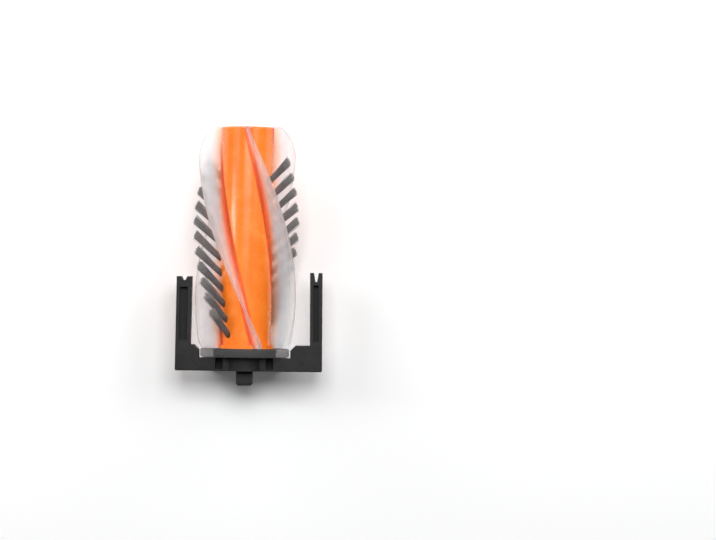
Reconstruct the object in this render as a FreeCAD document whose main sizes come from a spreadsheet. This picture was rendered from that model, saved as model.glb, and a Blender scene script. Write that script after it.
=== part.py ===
import FreeCAD, Part
import os
import Sketcher

# A half-length roller brush of a robot vacuum: an orange core with four clear helical blades and two
# rows of bristle tufts, carried at one end by a black U-shaped bracket with two ball bearings.
# The roller's axis is the Y axis: Y = 0 is the bracket's outer face and +Y points to the free tip.
# Z is up and X is to the right. An angle round the axis counts from +Z towards +X.

doc = FreeCAD.newDocument("roller_brush")
sheet = doc.addObject("Spreadsheet::Sheet", "Sizes")

SIZES = {
    # core
    "core_length": 88.6,
    "core_radius": 10.4,
    "core_flange_radius": 11.6,
    "core_flange_width": 1.5,
    "core_tip_rounding": 0.8,
    # blades
    "blade_tip_radius": 19.5,
    "blade_base_radius": 20.4,
    "blade_tip_taper": 13.5,
    "blade_tip_drop": 5.72,
    "blade_base_rounding": 3.4,
    "blade_twist": 120,
    "blade_open_gap": 98,
    "blade_edge_thickness": 1.1,
    "blade_wall_thickness": 1.5,
    "blade_root_rounding": 1.5,
    "blade_inlay_depth": 0.7,
    "blade_neck_width": 1.8,
    "blade_neck_depth": 0.7,
    "blade_foot_width": 3.4,
    "blade_foot_depth": 1.0,
    # tufts
    "tuft_radius": 1.1,
    "tuft_pitch": 6.1,
    "tuft_first": 5.6,
    "tuft_lean": 42,
    "tuft_hole_depth": 3.8,
    "tuft_proud": 0.6,
    "tuft_tip_setback": 0.3,
    "tuft_taper_length": 38,
    "tuft_row_offset": 29,
    # hair guard disc
    "disc_radius": 17.8,
    "disc_thickness": 3.4,
    "disc_gap": 0.4,
    "disc_rounding": 0.9,
    # bracket
    "plate_thickness": 5.2,
    "shoulder_height": 10.4,
    "shoulder_chamfer": 2.0,
    "recess_clearance": 0.5,
    "arm_lean": 0.3,
    "left_arm_gap": 0.4,
    "right_arm_gap": 4.8,
    "left_arm_width": 6.0,
    "right_arm_width": 4.9,
    "left_arm_length": 37.6,
    "right_arm_length": 39.6,
    "arm_depth": 12,
    "corner_rounding": 0.6,
    "rim_rounding": 0.4,
    "left_channel_width": 3.2,
    "right_channel_width": 2.1,
    "channel_depth": 3.2,
    "channel_start": 12.2,
    "left_channel_end": 33.4,
    "right_channel_end": 34.6,
    "left_notch_depth": 1.5,
    "left_notch_width": 3.4,
    "right_notch_depth": 3.6,
    "right_notch_width": 2.3,
    "base_step": 0.8,
    "hub_slot_width": 3.0,
    "hub_slot_depth": 7.0,
    "hub_wall": 1.2,
    "foot_half_width": 15,
    "foot_below_blades": 0.5,
    # bearings
    "shaft_radius": 2,
    "bearing_radius": 4,
    "bearing_width": 3,
    "race_land": 0.4,
    "ball_radius": 0.6,
    "ball_clearance": 0.03,
    "cage_width": 1.8,
    "cage_wall": 0.5,
    "pocket_clearance": 0.06,
    # sleeve, cap and seal
    "cap_thickness": 1.0,
    "sleeve_wall": 1.4,
    "sleeve_ledge": 0.7,
    "sleeve_length": 25.8,
    "sleeve_lip": 1.0,
    "sleeve_clearance": 0.6,
    "spigot_wall": 1.8,
    "screw_radius": 0.8,
    "screw_head_radius": 1.5,
    "screw_wall": 0.6,
    "screw_depth": 2.4,
    "cap_rim": 0.4,
    "cap_fit": 0.1,
    "felt_thickness": 1.0,
    "felt_proud": 0.25,
    # shaft and drive plug
    "plug_side": 6.6,
    "plug_length": 5.6,
    "plug_gap": 0.2,
    "plug_chamfer": 0.8,
    "plug_floor": 1.2,
    "nose_wall": 0.5,
    "nose_gap": 0.4,
    "pin_radius": 0.75,
    "clip_thickness": 0.6,
    "clip_groove_depth": 0.4,
    "clip_width": 1.6,
    "clip_opening": 2.6,
    "shaft_grip": 26,
    "shaft_end_gap": 0.5,
    # tip
    "bore_end_gap": 2.0,
    "tip_hollow_radius": 5.6,
    "tip_cap_lid": 1.8,
    "tip_cap_length": 6.0,
    "tip_cap_wall": 1.4,
    "washer_radius": 4.2,
    "washer_thickness": 0.7,
    "core_screw_radius": 1.2,
    "core_screw_head_radius": 2.4,
    "core_screw_head_height": 1.7,
    "core_screw_depth": 7,
}
for row, (alias, number) in enumerate(SIZES.items(), start=1):
    sheet.set(f"A{row}", alias)
    sheet.set(f"B{row}", str(number))
    sheet.setAlias(f"B{row}", alias)
doc.recompute()

TUFT_COUNT = 11
BALL_COUNT = 8

# Positions and radii that follow from the sizes.
core_start = "(Sizes.plate_thickness + Sizes.disc_gap + Sizes.disc_thickness)"
core_end = f"({core_start} + Sizes.core_length)"
spigot_end = "(Sizes.plate_thickness + Sizes.disc_gap)"
sleeve_radius = "(Sizes.bearing_radius + Sizes.sleeve_wall)"
sleeve_end = "(Sizes.plate_thickness + Sizes.sleeve_length)"
core_bore = f"({sleeve_radius} + Sizes.sleeve_clearance)"
spigot_radius = f"({core_bore} + Sizes.spigot_wall)"
bore_end = f"({sleeve_end} + Sizes.bore_end_gap)"
grip_end = f"({bore_end} + Sizes.shaft_grip)"
shaft_end = f"({grip_end} - Sizes.shaft_end_gap)"
screw_circle = "(Sizes.bearing_radius + Sizes.screw_wall + Sizes.screw_radius)"
cap_radius = f"({screw_circle} + Sizes.screw_head_radius + Sizes.cap_rim)"
hub_radius = f"({cap_radius} + Sizes.cap_fit + Sizes.hub_wall)"
nose_radius = "(Sizes.shaft_radius + Sizes.nose_wall)"
ball_circle = "((Sizes.shaft_radius + Sizes.bearing_radius) / 2)"
inner_land = f"({ball_circle} - Sizes.race_land)"
outer_land = f"({ball_circle} + Sizes.race_land)"
groove_radius = "(Sizes.ball_radius + Sizes.ball_clearance)"
hub_bearing_start = "Sizes.cap_thickness"
hub_bearing_end = "(Sizes.cap_thickness + Sizes.bearing_width)"
sleeve_bearing_end = f"({sleeve_end} - Sizes.sleeve_lip)"
sleeve_bearing_start = f"({sleeve_bearing_end} - Sizes.bearing_width)"
clip_end = f"({sleeve_bearing_end} + Sizes.clip_thickness)"
clip_bore = "(Sizes.shaft_radius - Sizes.clip_groove_depth)"
tuft_full_radius = "(Sizes.blade_base_radius + Sizes.tuft_proud)"
tuft_tip_radius = "(Sizes.blade_tip_radius - Sizes.tuft_tip_setback)"
left_inner_end = f"({tuft_full_radius} + Sizes.left_arm_gap)"
left_outer_end = f"({left_inner_end} + Sizes.left_arm_width)"
left_inner = f"({left_inner_end} + Sizes.arm_lean)"
left_outer = f"({left_outer_end} + Sizes.arm_lean)"
right_inner_end = f"({tuft_full_radius} + Sizes.right_arm_gap)"
right_outer_end = f"({right_inner_end} + Sizes.right_arm_width)"
right_inner = f"({right_inner_end} + Sizes.arm_lean)"
right_outer = f"({right_outer_end} + Sizes.arm_lean)"
recess = "(Sizes.disc_radius + Sizes.recess_clearance)"
foot_drop = "(Sizes.blade_base_radius + Sizes.foot_below_blades)"


def value(expression):
    """The number that an expression has with the sheet's present sizes."""
    return float(sheet.evalExpression(expression))


def pin_point(sketch, element, end, across, along):
    """Fix one end of a sketch element at the two expressions."""
    for kind, axis, expression in (("DistanceX", -2, across), ("DistanceY", -1, along)):
        if expression == "0":
            sketch.addConstraint(Sketcher.Constraint("PointOnObject", element, end, axis))
            continue
        number = value(expression)
        if number > 0:
            place = sketch.addConstraint(Sketcher.Constraint(kind, -1, 1, element, end, number))
            sketch.setExpression(f"Constraints[{place}]", expression)
        else:
            place = sketch.addConstraint(Sketcher.Constraint(kind, element, end, -1, 1, -number))
            sketch.setExpression(f"Constraints[{place}]", f"-({expression})")


def draw_outline(sketch, points):
    """Close an outline, counter-clockwise, through points of two expressions.

    A third expression makes the edge that leaves the point an arc of that radius, and a fourth and
    fifth give the arc's centre. The arc is hollow where the centre lies outside the outline.
    """
    spots = [FreeCAD.Vector(value(point[0]), value(point[1]), 0) for point in points]
    ends = []
    for index, point in enumerate(points):
        here, there = spots[index], spots[(index + 1) % len(points)]
        if len(point) == 2:
            sketch.addGeometry(Part.LineSegment(here, there))
            ends.append((1, 2))
        else:
            centre = FreeCAD.Vector(value(point[3]), value(point[4]), 0)
            circle = Part.Circle(centre, FreeCAD.Vector(0, 0, 1), value(point[2]))
            hollow = (there - here).cross(centre - here).z < 0
            first, last = (there, here) if hollow else (here, there)
            sketch.addGeometry(Part.ArcOfCircle(circle, circle.parameter(first), circle.parameter(last)))
            ends.append((2, 1) if hollow else (1, 2))
    for index, point in enumerate(points):
        later = (index + 1) % len(points)
        sketch.addConstraint(Sketcher.Constraint("Coincident", index, ends[index][1], later, ends[later][0]))
    for index, point in enumerate(points):
        pin_point(sketch, index, ends[index][0], point[0], point[1])
        if len(point) > 2:
            place = sketch.addConstraint(Sketcher.Constraint("Radius", index, value(point[2])))
            sketch.setExpression(f"Constraints[{place}]", point[2])


def new_body(label):
    body = doc.addObject("PartDesign::Body", label)
    body.Label = label
    return body


def new_sketch(body, name, role, points, offset=None):
    """A closed sketch on one of the body's own planes, moved along its normal by an expression."""
    plane = [feature for feature in body.Origin.OriginFeatures if feature.Role == role][0]
    sketch = body.newObject("Sketcher::SketchObject", name)
    sketch.AttachmentSupport = [(plane, "")]
    sketch.MapMode = "FlatFace"
    if offset:
        sketch.setExpression("AttachmentOffset.Base.z", offset)
    draw_outline(sketch, points)
    return sketch


def turn(body, name, points, feature="PartDesign::Revolution"):
    """Turn an outline of radius and height round the roller's axis."""
    sketch = new_sketch(body, f"{name}_section", "XY_Plane", points)
    turned = body.newObject(feature, name)
    turned.Profile = sketch
    turned.ReferenceAxis = (sketch, ["V_Axis"])
    turned.Angle = 360
    doc.recompute()
    return turned


def turned_piece(label, points):
    body = new_body(label)
    turn(body, f"{label}_turned", points)
    return body


def ring_points(inner, outer, low, high):
    return [(inner, low), (outer, low), (outer, high), (inner, high)]


def round_edges(body, name, chosen, radius):
    """Round the tip feature's edges that a test picks by their shape and place."""
    feature = body.Tip
    names = [f"Edge{n}" for n, edge in enumerate(feature.Shape.Edges, start=1) if chosen(edge)]
    rounding = body.newObject("PartDesign::Fillet", name)
    rounding.Base = (feature, names)
    rounding.setExpression("Radius", radius)
    doc.recompute()
    return rounding


def cylinder(name, radius, height, place=None):
    """A cylinder with its foot at the expressions of place and its axis along +Y."""
    solid = doc.addObject("Part::Cylinder", name)
    solid.setExpression("Radius", radius)
    solid.setExpression("Height", height)
    solid.Placement.Rotation = FreeCAD.Rotation(FreeCAD.Vector(1, 0, 0), -90)
    for axis, expression in zip("xyz", place or ("0", "0", "0")):
        solid.setExpression(f"Placement.Base.{axis}", expression)
    return solid


def boolean(kind, name, base, tool):
    result = doc.addObject(kind, name)
    result.Base = base
    result.Tool = tool
    result.Label = name
    return result


def collect(name, members):
    group = doc.addObject("Part::Compound", name)
    group.Links = members
    group.Label = name
    return group


def turn_round_axis(piece, angle):
    piece.Placement.Rotation = FreeCAD.Rotation(FreeCAD.Vector(0, 1, 0), 1)
    piece.setExpression("Placement.Rotation.Angle", angle)


pieces = []

# Bracket: the U seen from above, with a long and a short arm, chamfered shoulders and a recess for the disc.
bracket = new_body("bracket_moulding")
u_sketch = new_sketch(bracket, "u_outline", "XY_Plane", [
    (f"-{left_outer}", "0"),
    (right_outer, "0"),
    (right_outer_end, "Sizes.right_arm_length"),
    (right_inner_end, "Sizes.right_arm_length"),
    (right_inner, "Sizes.shoulder_height"),
    (f"{recess} + Sizes.shoulder_chamfer", "Sizes.shoulder_height"),
    (recess, "Sizes.shoulder_height - Sizes.shoulder_chamfer"),
    (recess, "Sizes.plate_thickness"),
    (f"-{recess}", "Sizes.plate_thickness"),
    (f"-{recess}", "Sizes.shoulder_height - Sizes.shoulder_chamfer"),
    (f"-({recess} + Sizes.shoulder_chamfer)", "Sizes.shoulder_height"),
    (f"-{left_inner}", "Sizes.shoulder_height"),
    (f"-{left_inner_end}", "Sizes.left_arm_length"),
    (f"-{left_outer_end}", "Sizes.left_arm_length"),
])
u_frame = bracket.newObject("PartDesign::Pad", "u_frame")
u_frame.Profile = u_sketch
u_frame.SideType = "Symmetric"
u_frame.setExpression("Length", "Sizes.arm_depth")
doc.recompute()
round_edges(bracket, "base_corners", lambda edge: (
    abs(edge.tangentAt(edge.FirstParameter).z) > 0.99 and abs(edge.CenterOfMass.y) < 0.001
), "Sizes.corner_rounding")
round_edges(bracket, "arm_rims", lambda edge: (
    abs(abs(edge.CenterOfMass.z) - value("Sizes.arm_depth / 2")) < 0.001
    and abs(edge.CenterOfMass.x) > value(left_inner_end) - 0.5
    and edge.CenterOfMass.y > 0.001
), "Sizes.rim_rounding")

# End plate: it runs down from the U to the flat foot that the part stands on.
plate_sketch = new_sketch(bracket, "plate_outline", "XZ_Plane", [
    ("-Sizes.foot_half_width", f"-{foot_drop}"),
    ("Sizes.foot_half_width", f"-{foot_drop}"),
    (recess, "-Sizes.arm_depth / 4"),
    (f"-{recess}", "-Sizes.arm_depth / 4"),
])
end_plate = bracket.newObject("PartDesign::Pad", "end_plate")
end_plate.Profile = plate_sketch
end_plate.Reversed = True
end_plate.setExpression("Length", "Sizes.plate_thickness")
doc.recompute()

# Channels along the arms, open to both faces.
left_middle_end = f"(-{left_inner_end} - Sizes.left_arm_width / 2)"
left_middle = f"({left_middle_end} - Sizes.arm_lean)"
right_middle_end = f"({right_inner_end} + Sizes.right_arm_width / 2)"
right_middle = f"({right_middle_end} + Sizes.arm_lean)"
for side, middle, middle_end in (
    ("left", left_middle, left_middle_end),
    ("right", right_middle, right_middle_end),
):
    half_channel = f"Sizes.{side}_channel_width / 2"
    channel_sketch = new_sketch(bracket, f"{side}_channel_outline", "XY_Plane", [
        (f"{middle} - {half_channel}", "Sizes.channel_start"),
        (f"{middle} + {half_channel}", "Sizes.channel_start"),
        (f"{middle_end} + {half_channel}", f"Sizes.{side}_channel_end"),
        (f"{middle_end} - {half_channel}", f"Sizes.{side}_channel_end"),
    ], "Sizes.arm_depth / 2")
    cut = bracket.newObject("PartDesign::Pocket", f"{side}_channel")
    cut.Profile = channel_sketch
    cut.setExpression("Length", "Sizes.channel_depth")
    doc.recompute()
    mirror = bracket.newObject("PartDesign::Mirrored", f"{side}_channel_below")
    mirror.Originals = [cut]
    mirror.MirrorPlane = ([f for f in bracket.Origin.OriginFeatures if f.Role == "XY_Plane"][0], [""])
    bracket.Tip = mirror
    doc.recompute()

# Notches that fork the arms' ends.
for side, middle in (("left", left_middle_end), ("right", right_middle_end)):
    length = f"Sizes.{side}_arm_length"
    half = f"Sizes.{side}_notch_width / 2"
    notch_sketch = new_sketch(bracket, f"{side}_notch_outline", "XY_Plane", [
        (f"{middle} - {half} / 3", f"{length} - Sizes.{side}_notch_depth"),
        (f"{middle} + {half} / 3", f"{length} - Sizes.{side}_notch_depth"),
        (f"{middle} + {half}", f"{length} + 1"),
        (f"{middle} - {half}", f"{length} + 1"),
    ])
    cut = bracket.newObject("PartDesign::Pocket", f"{side}_notch")
    cut.Profile = notch_sketch
    cut.Type = "ThroughAll"
    cut.SideType = "Symmetric"
    doc.recompute()

# Base front between the corner blocks, set back a little, with the slots on both sides of the hub.
for side in ("-", ""):
    slot_sketch = new_sketch(bracket, f"hub_slot_outline{len(side)}", "XY_Plane", [
        (f"{side}{hub_radius}", "Sizes.base_step"),
        (f"{side}({hub_radius} + Sizes.hub_slot_width)", "Sizes.base_step"),
        (f"{side}({hub_radius} + Sizes.hub_slot_width)", "Sizes.plate_thickness + 1"),
        (f"{side}{hub_radius}", "Sizes.plate_thickness + 1"),
    ], "Sizes.arm_depth / 2")
    cut = bracket.newObject("PartDesign::Pocket", f"hub_slot{len(side)}")
    cut.Profile = slot_sketch
    cut.setExpression("Length", "Sizes.hub_slot_depth")
    doc.recompute()

# Hub and bearing sleeve, then their stepped bore with the cap's seat and the felt's seat.
turn(bracket, "sleeve", ring_points(
    "Sizes.bearing_radius - Sizes.sleeve_ledge", sleeve_radius, "Sizes.plate_thickness / 2", sleeve_end))
turn(bracket, "hub", ring_points(
    "Sizes.bearing_radius - Sizes.sleeve_ledge", hub_radius, "0", "Sizes.plate_thickness"))
ledge = "(Sizes.bearing_radius - Sizes.sleeve_ledge)"
turn(bracket, "stepped_bore", [
    ("0", "-1"),
    (f"{cap_radius} + Sizes.cap_fit", "-1"),
    (f"{cap_radius} + Sizes.cap_fit", hub_bearing_start),
    ("Sizes.bearing_radius", hub_bearing_start),
    ("Sizes.bearing_radius", hub_bearing_end),
    (ledge, hub_bearing_end),
    (ledge, sleeve_bearing_start),
    ("Sizes.bearing_radius", sleeve_bearing_start),
    ("Sizes.bearing_radius", f"{sleeve_end} + 1"),
    ("0", f"{sleeve_end} + 1"),
], "PartDesign::Groove")
felt_floor = "(Sizes.plate_thickness - Sizes.felt_thickness)"
turn(bracket, "felt_seat", ring_points(
    sleeve_radius, spigot_radius, felt_floor, "Sizes.plate_thickness + 0.1"), "PartDesign::Groove")

# Two countersunk screws hold the bearing cap in the hub's recess; each has a straight driver slot.
screw_head_height = "(Sizes.cap_thickness * 0.7)"
screw_forms = []
screw_slots = []
for number, side in enumerate(("-", ""), start=1):
    head = doc.addObject("Part::Cone", f"screw_head_{number}")
    head.setExpression("Radius1", "Sizes.screw_head_radius")
    head.setExpression("Radius2", "Sizes.screw_radius")
    head.setExpression("Height", screw_head_height)
    head.Placement.Rotation = FreeCAD.Rotation(FreeCAD.Vector(1, 0, 0), -90)
    head.setExpression("Placement.Base.x", f"{side}{screw_circle}")
    thread = cylinder(f"screw_thread_{number}", "Sizes.screw_radius",
                      "Sizes.cap_thickness + Sizes.screw_depth", (f"{side}{screw_circle}", "0", "0"))
    screw_forms.append(boolean("Part::Fuse", f"screw_form_{number}", head, thread))
    slot = doc.addObject("Part::Box", f"screw_slot_{number}")
    slot.setExpression("Length", "Sizes.screw_radius / 2")
    slot.setExpression("Width", f"{screw_head_height} / 2")
    slot.setExpression("Height", "Sizes.screw_head_radius * 2.2")
    slot.setExpression("Placement.Base.x", f"{side}{screw_circle} - Sizes.screw_radius / 4")
    slot.setExpression("Placement.Base.z", "-Sizes.screw_head_radius * 1.1")
    screw_slots.append(slot)
screw_pair = collect("screw_pair", screw_forms)
cap_screws = boolean("Part::Cut", "cap_screws", screw_pair, collect("screw_slot_pair", screw_slots))
cap_blank = turned_piece("cap_blank", ring_points(
    f"{nose_radius} + Sizes.nose_gap", cap_radius, "0", "Sizes.cap_thickness"))
pieces.append(boolean("Part::Cut", "bracket", bracket, screw_pair))
pieces.append(boolean("Part::Cut", "bearing_cap", cap_blank, screw_pair))
pieces.append(cap_screws)

# Felt ring in the plate's seat; it stops just short of the turning core.
pieces.append(turned_piece("felt_seal", ring_points(
    sleeve_radius, spigot_radius, felt_floor, "Sizes.plate_thickness + Sizes.felt_proud")))

# The two ball bearings: outer race, balls, cage and inner race, one in the hub and one in the sleeve's end.
half_groove = f"sqrt({groove_radius} ^ 2 - Sizes.race_land ^ 2)"
for bearing, low, high in (
    ("hub_bearing", hub_bearing_start, hub_bearing_end),
    ("sleeve_bearing", sleeve_bearing_start, sleeve_bearing_end),
):
    middle = f"({low} + Sizes.bearing_width / 2)"
    pieces.append(turned_piece(f"{bearing}_outer_race", [
        (outer_land, low),
        ("Sizes.bearing_radius", low),
        ("Sizes.bearing_radius", high),
        (outer_land, high),
        (outer_land, f"{middle} + {half_groove}", groove_radius, ball_circle, middle),
        (outer_land, f"{middle} - {half_groove}"),
    ]))
    pieces.append(turned_piece(f"{bearing}_inner_race", [
        ("Sizes.shaft_radius", low),
        (inner_land, low),
        (inner_land, f"{middle} - {half_groove}", groove_radius, ball_circle, middle),
        (inner_land, f"{middle} + {half_groove}"),
        (inner_land, high),
        ("Sizes.shaft_radius", high),
    ]))
    balls = []
    pockets = []
    for number in range(BALL_COUNT):
        angle = 360 / BALL_COUNT * number
        ball = doc.addObject("Part::Sphere", f"{bearing}_ball_{number + 1}")
        ball.setExpression("Radius", "Sizes.ball_radius")
        ball.setExpression("Placement.Base.x", f"{ball_circle} * sin({angle})")
        ball.setExpression("Placement.Base.y", middle)
        ball.setExpression("Placement.Base.z", f"{ball_circle} * cos({angle})")
        balls.append(ball)
        pocket = cylinder(f"{bearing}_pocket_{number + 1}", "Sizes.ball_radius + Sizes.pocket_clearance",
                          "Sizes.bearing_radius", ("0", middle, "0"))
        pocket.Placement.Rotation = FreeCAD.Rotation(FreeCAD.Vector(0, 1, 0), angle)
        pockets.append(pocket)
    pieces.append(collect(f"{bearing}_balls", balls))
    cage_blank = turned_piece(f"{bearing}_cage_blank", ring_points(
        f"{ball_circle} - Sizes.cage_wall / 2", f"{ball_circle} + Sizes.cage_wall / 2",
        f"{middle} - Sizes.cage_width / 2", f"{middle} + Sizes.cage_width / 2"))
    pieces.append(boolean("Part::Cut", f"{bearing}_cage", cage_blank, collect(f"{bearing}_pockets", pockets)))

# Steel shaft with the clip's groove and a tapped end.
plug_end = "(Sizes.plug_gap + Sizes.plug_length)"
shaft_start = f"(Sizes.plug_floor - {plug_end})"
pin_height = f"(Sizes.plug_length / 2 - {plug_end})"
shaft_blank = turned_piece("shaft_blank", [
    ("0", shaft_start),
    ("Sizes.shaft_radius", shaft_start),
    ("Sizes.shaft_radius", sleeve_bearing_end),
    (clip_bore, sleeve_bearing_end),
    (clip_bore, clip_end),
    ("Sizes.shaft_radius", clip_end),
    ("Sizes.shaft_radius", shaft_end),
    ("Sizes.core_screw_radius", shaft_end),
    ("Sizes.core_screw_radius", f"{shaft_end} - Sizes.core_screw_depth"),
    ("0", f"{shaft_end} - Sizes.core_screw_depth"),
])

# Square drive plug with a chamfered end and a nose that reaches through the cap to the inner race.
plug_blank = new_body("plug_blank")
half_plug = "Sizes.plug_side / 2"
plug_sketch = new_sketch(plug_blank, "plug_outline", "XZ_Plane", [
    (f"-{half_plug}", f"-{half_plug}"),
    (half_plug, f"-{half_plug}"),
    (half_plug, half_plug),
    (f"-{half_plug}", half_plug),
], "Sizes.plug_gap")
plug_block = plug_blank.newObject("PartDesign::Pad", "plug_block")
plug_block.Profile = plug_sketch
plug_block.setExpression("Length", "Sizes.plug_length")
doc.recompute()
chamfer = plug_blank.newObject("PartDesign::Chamfer", "plug_chamfer")
chamfer.Base = (plug_block, [
    f"Edge{n}" for n, edge in enumerate(plug_block.Shape.Edges, start=1)
    if abs(edge.CenterOfMass.y + value(plug_end)) < 0.001
])
chamfer.setExpression("Size", "Sizes.plug_chamfer")
doc.recompute()
turn(plug_blank, "plug_nose", ring_points(
    "Sizes.shaft_radius", nose_radius, "-Sizes.plug_gap - 0.5", hub_bearing_start))
turn(plug_blank, "plug_bore", [
    ("0", shaft_start),
    ("Sizes.shaft_radius", shaft_start),
    ("Sizes.shaft_radius", "Sizes.cap_thickness + 1"),
    ("0", "Sizes.cap_thickness + 1"),
], "PartDesign::Groove")
pin = cylinder("drive_pin", "Sizes.pin_radius", "Sizes.plug_side", (f"-{half_plug}", pin_height, "0"))
pin.Placement.Rotation = FreeCAD.Rotation(FreeCAD.Vector(0, 1, 0), 90)
pin.Label = "drive_pin"
pieces.append(boolean("Part::Cut", "drive_shaft", shaft_blank, pin))
pieces.append(boolean("Part::Cut", "drive_plug", plug_blank, pin))
pieces.append(pin)

# Spacer tube between the inner races and the open clip behind them.
pieces.append(turned_piece("race_spacer", ring_points(
    "Sizes.shaft_radius", inner_land, hub_bearing_end, sleeve_bearing_start)))
clip_blank = turned_piece("clip_blank", ring_points(
    clip_bore, f"{clip_bore} + Sizes.clip_width", sleeve_bearing_end, clip_end))
clip_mouth = doc.addObject("Part::Box", "clip_mouth")
clip_mouth.setExpression("Length", "Sizes.clip_opening")
clip_mouth.setExpression("Width", "Sizes.clip_thickness + 2")
clip_mouth.setExpression("Height", f"{clip_bore} + Sizes.clip_width")
clip_mouth.setExpression("Placement.Base.x", "-Sizes.clip_opening / 2")
clip_mouth.setExpression("Placement.Base.y", f"{sleeve_bearing_end} - 1")
clip_mouth.setExpression("Placement.Base.z", f"-({clip_bore} + Sizes.clip_width)")
pieces.append(boolean("Part::Cut", "retaining_clip", clip_blank, clip_mouth))

# Blades: one section, swept along the helix, trimmed to the turned envelope and set at four angles.
sweep_start = f"({core_start} - 1)"
helix = doc.addObject("Part::Helix", "blade_helix")
helix.LocalCoord = "Left-handed"
helix.setExpression("Pitch", "Sizes.core_length * 360 / Sizes.blade_twist")
helix.setExpression("Height", "Sizes.core_length + 2")
helix.setExpression("Radius", "Sizes.core_radius")
helix.Placement.Rotation = FreeCAD.Rotation(FreeCAD.Vector(1, 0, 0), -90)
helix.setExpression("Placement.Base.y", sweep_start)
half_wall = "(Sizes.blade_wall_thickness / 2)"
half_edge = "(Sizes.blade_edge_thickness / 2)"
half_neck = "(Sizes.blade_neck_width / 2)"
half_foot = "(Sizes.blade_foot_width / 2)"
half_root = f"({half_wall} + Sizes.blade_root_rounding)"
inlay_floor = "(Sizes.core_radius - Sizes.blade_inlay_depth)"
neck_floor = f"({inlay_floor} - Sizes.blade_neck_depth)"
foot_floor = f"({neck_floor} - Sizes.blade_foot_depth)"
root_height = f"(sqrt(Sizes.core_radius ^ 2 - {half_root} ^ 2) - 0.1)"
wall_height = f"({root_height} + Sizes.blade_root_rounding)"
top_height = "(Sizes.blade_base_radius + 1)"
section = doc.addObject("Sketcher::SketchObject", "blade_section")
section.Placement.Rotation = FreeCAD.Rotation(FreeCAD.Vector(1, 0, 0), 90)
section.setExpression("Placement.Base.y", sweep_start)
draw_outline(section, [
    (f"-{half_foot}", foot_floor),
    (half_foot, foot_floor),
    (half_foot, neck_floor),
    (half_neck, neck_floor),
    (half_neck, inlay_floor),
    (half_root, inlay_floor),
    (half_root, root_height, "Sizes.blade_root_rounding", half_root, wall_height),
    (half_wall, wall_height),
    (half_edge, top_height),
    (f"-{half_edge}", top_height),
    (f"-{half_wall}", wall_height, "Sizes.blade_root_rounding", f"-{half_root}", wall_height),
    (f"-{half_root}", root_height),
    (f"-{half_root}", inlay_floor),
    (f"-{half_neck}", inlay_floor),
    (f"-{half_neck}", neck_floor),
    (f"-{half_foot}", neck_floor),
])
sweep = doc.addObject("Part::Sweep", "blade_sweep")
sweep.Sections = [section]
sweep.Spine = (helix, ["Edge1"])
sweep.Solid = True
sweep.Frenet = True
corner_start = f"({core_end} - Sizes.blade_tip_taper)"
corner_end = "(Sizes.blade_tip_radius - Sizes.blade_tip_drop)"
corner_rounding = "((Sizes.blade_tip_taper ^ 2 + Sizes.blade_tip_drop ^ 2) / (2 * Sizes.blade_tip_drop))"
corner_middle = f"(Sizes.blade_tip_radius - {corner_rounding})"
blade_envelope = turned_piece("blade_envelope", [
    ("0", core_start),
    ("Sizes.blade_base_radius", core_start),
    ("Sizes.blade_tip_radius", corner_start, corner_rounding, corner_middle, corner_start),
    (corner_end, core_end),
    ("0", core_end),
])
round_edges(blade_envelope, "blade_base_corner", lambda edge: edge.CenterOfMass.y < value(core_start) + 0.001,
            "Sizes.blade_base_rounding")
blades = []
for number, angle in enumerate(("0", "-Sizes.blade_open_gap", "180", "180 - Sizes.blade_open_gap"), start=1):
    blade = boolean("Part::Common", f"blade_{number}", sweep, blade_envelope)
    turn_round_axis(blade, f"({angle} + Sizes.blade_twist * (1 + 1 / Sizes.core_length)) * 1 deg")
    blades.append(blade)

# Tufts: leaning round bundles set in holes of the core, trimmed to the brush's outline.
tuft_envelope = turned_piece("tuft_envelope", [
    ("0", core_start),
    (tuft_full_radius, core_start),
    (tuft_full_radius, f"{core_end} - Sizes.tuft_taper_length"),
    (tuft_tip_radius, core_end),
    ("0", core_end),
])
bundle_length = (f"({tuft_full_radius} - Sizes.core_radius) * 1.5 / cos(Sizes.tuft_lean)"
                 " + Sizes.tuft_hole_depth")
hole_floor = "Sizes.core_radius - Sizes.tuft_hole_depth * cos(Sizes.tuft_lean)"
tufts = []
for row_name, row_angle in (("a", "0"), ("b", "180")):
    for number in range(TUFT_COUNT):
        root = f"({core_start} + Sizes.tuft_first + Sizes.tuft_pitch * {number})"
        bundle = doc.addObject("Part::Cylinder", f"bundle_{row_name}_{number + 1:02d}")
        bundle.setExpression("Radius", "Sizes.tuft_radius")
        bundle.setExpression("Height", bundle_length)
        bundle.Placement.Rotation = FreeCAD.Rotation(FreeCAD.Vector(1, 0, 0), 1)
        bundle.setExpression("Placement.Rotation.Angle", "-Sizes.tuft_lean * 1 deg")
        bundle.setExpression("Placement.Base.y", f"{root} - Sizes.tuft_hole_depth * sin(Sizes.tuft_lean)")
        bundle.setExpression("Placement.Base.z", hole_floor)
        tuft = boolean("Part::Common", f"tuft_{row_name}_{number + 1:02d}", bundle, tuft_envelope)
        turn_round_axis(tuft, f"({row_angle} + Sizes.tuft_row_offset"
                              f" + Sizes.blade_twist * ({core_end} - {root}) / Sizes.core_length) * 1 deg")
        tufts.append(tuft)

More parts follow.
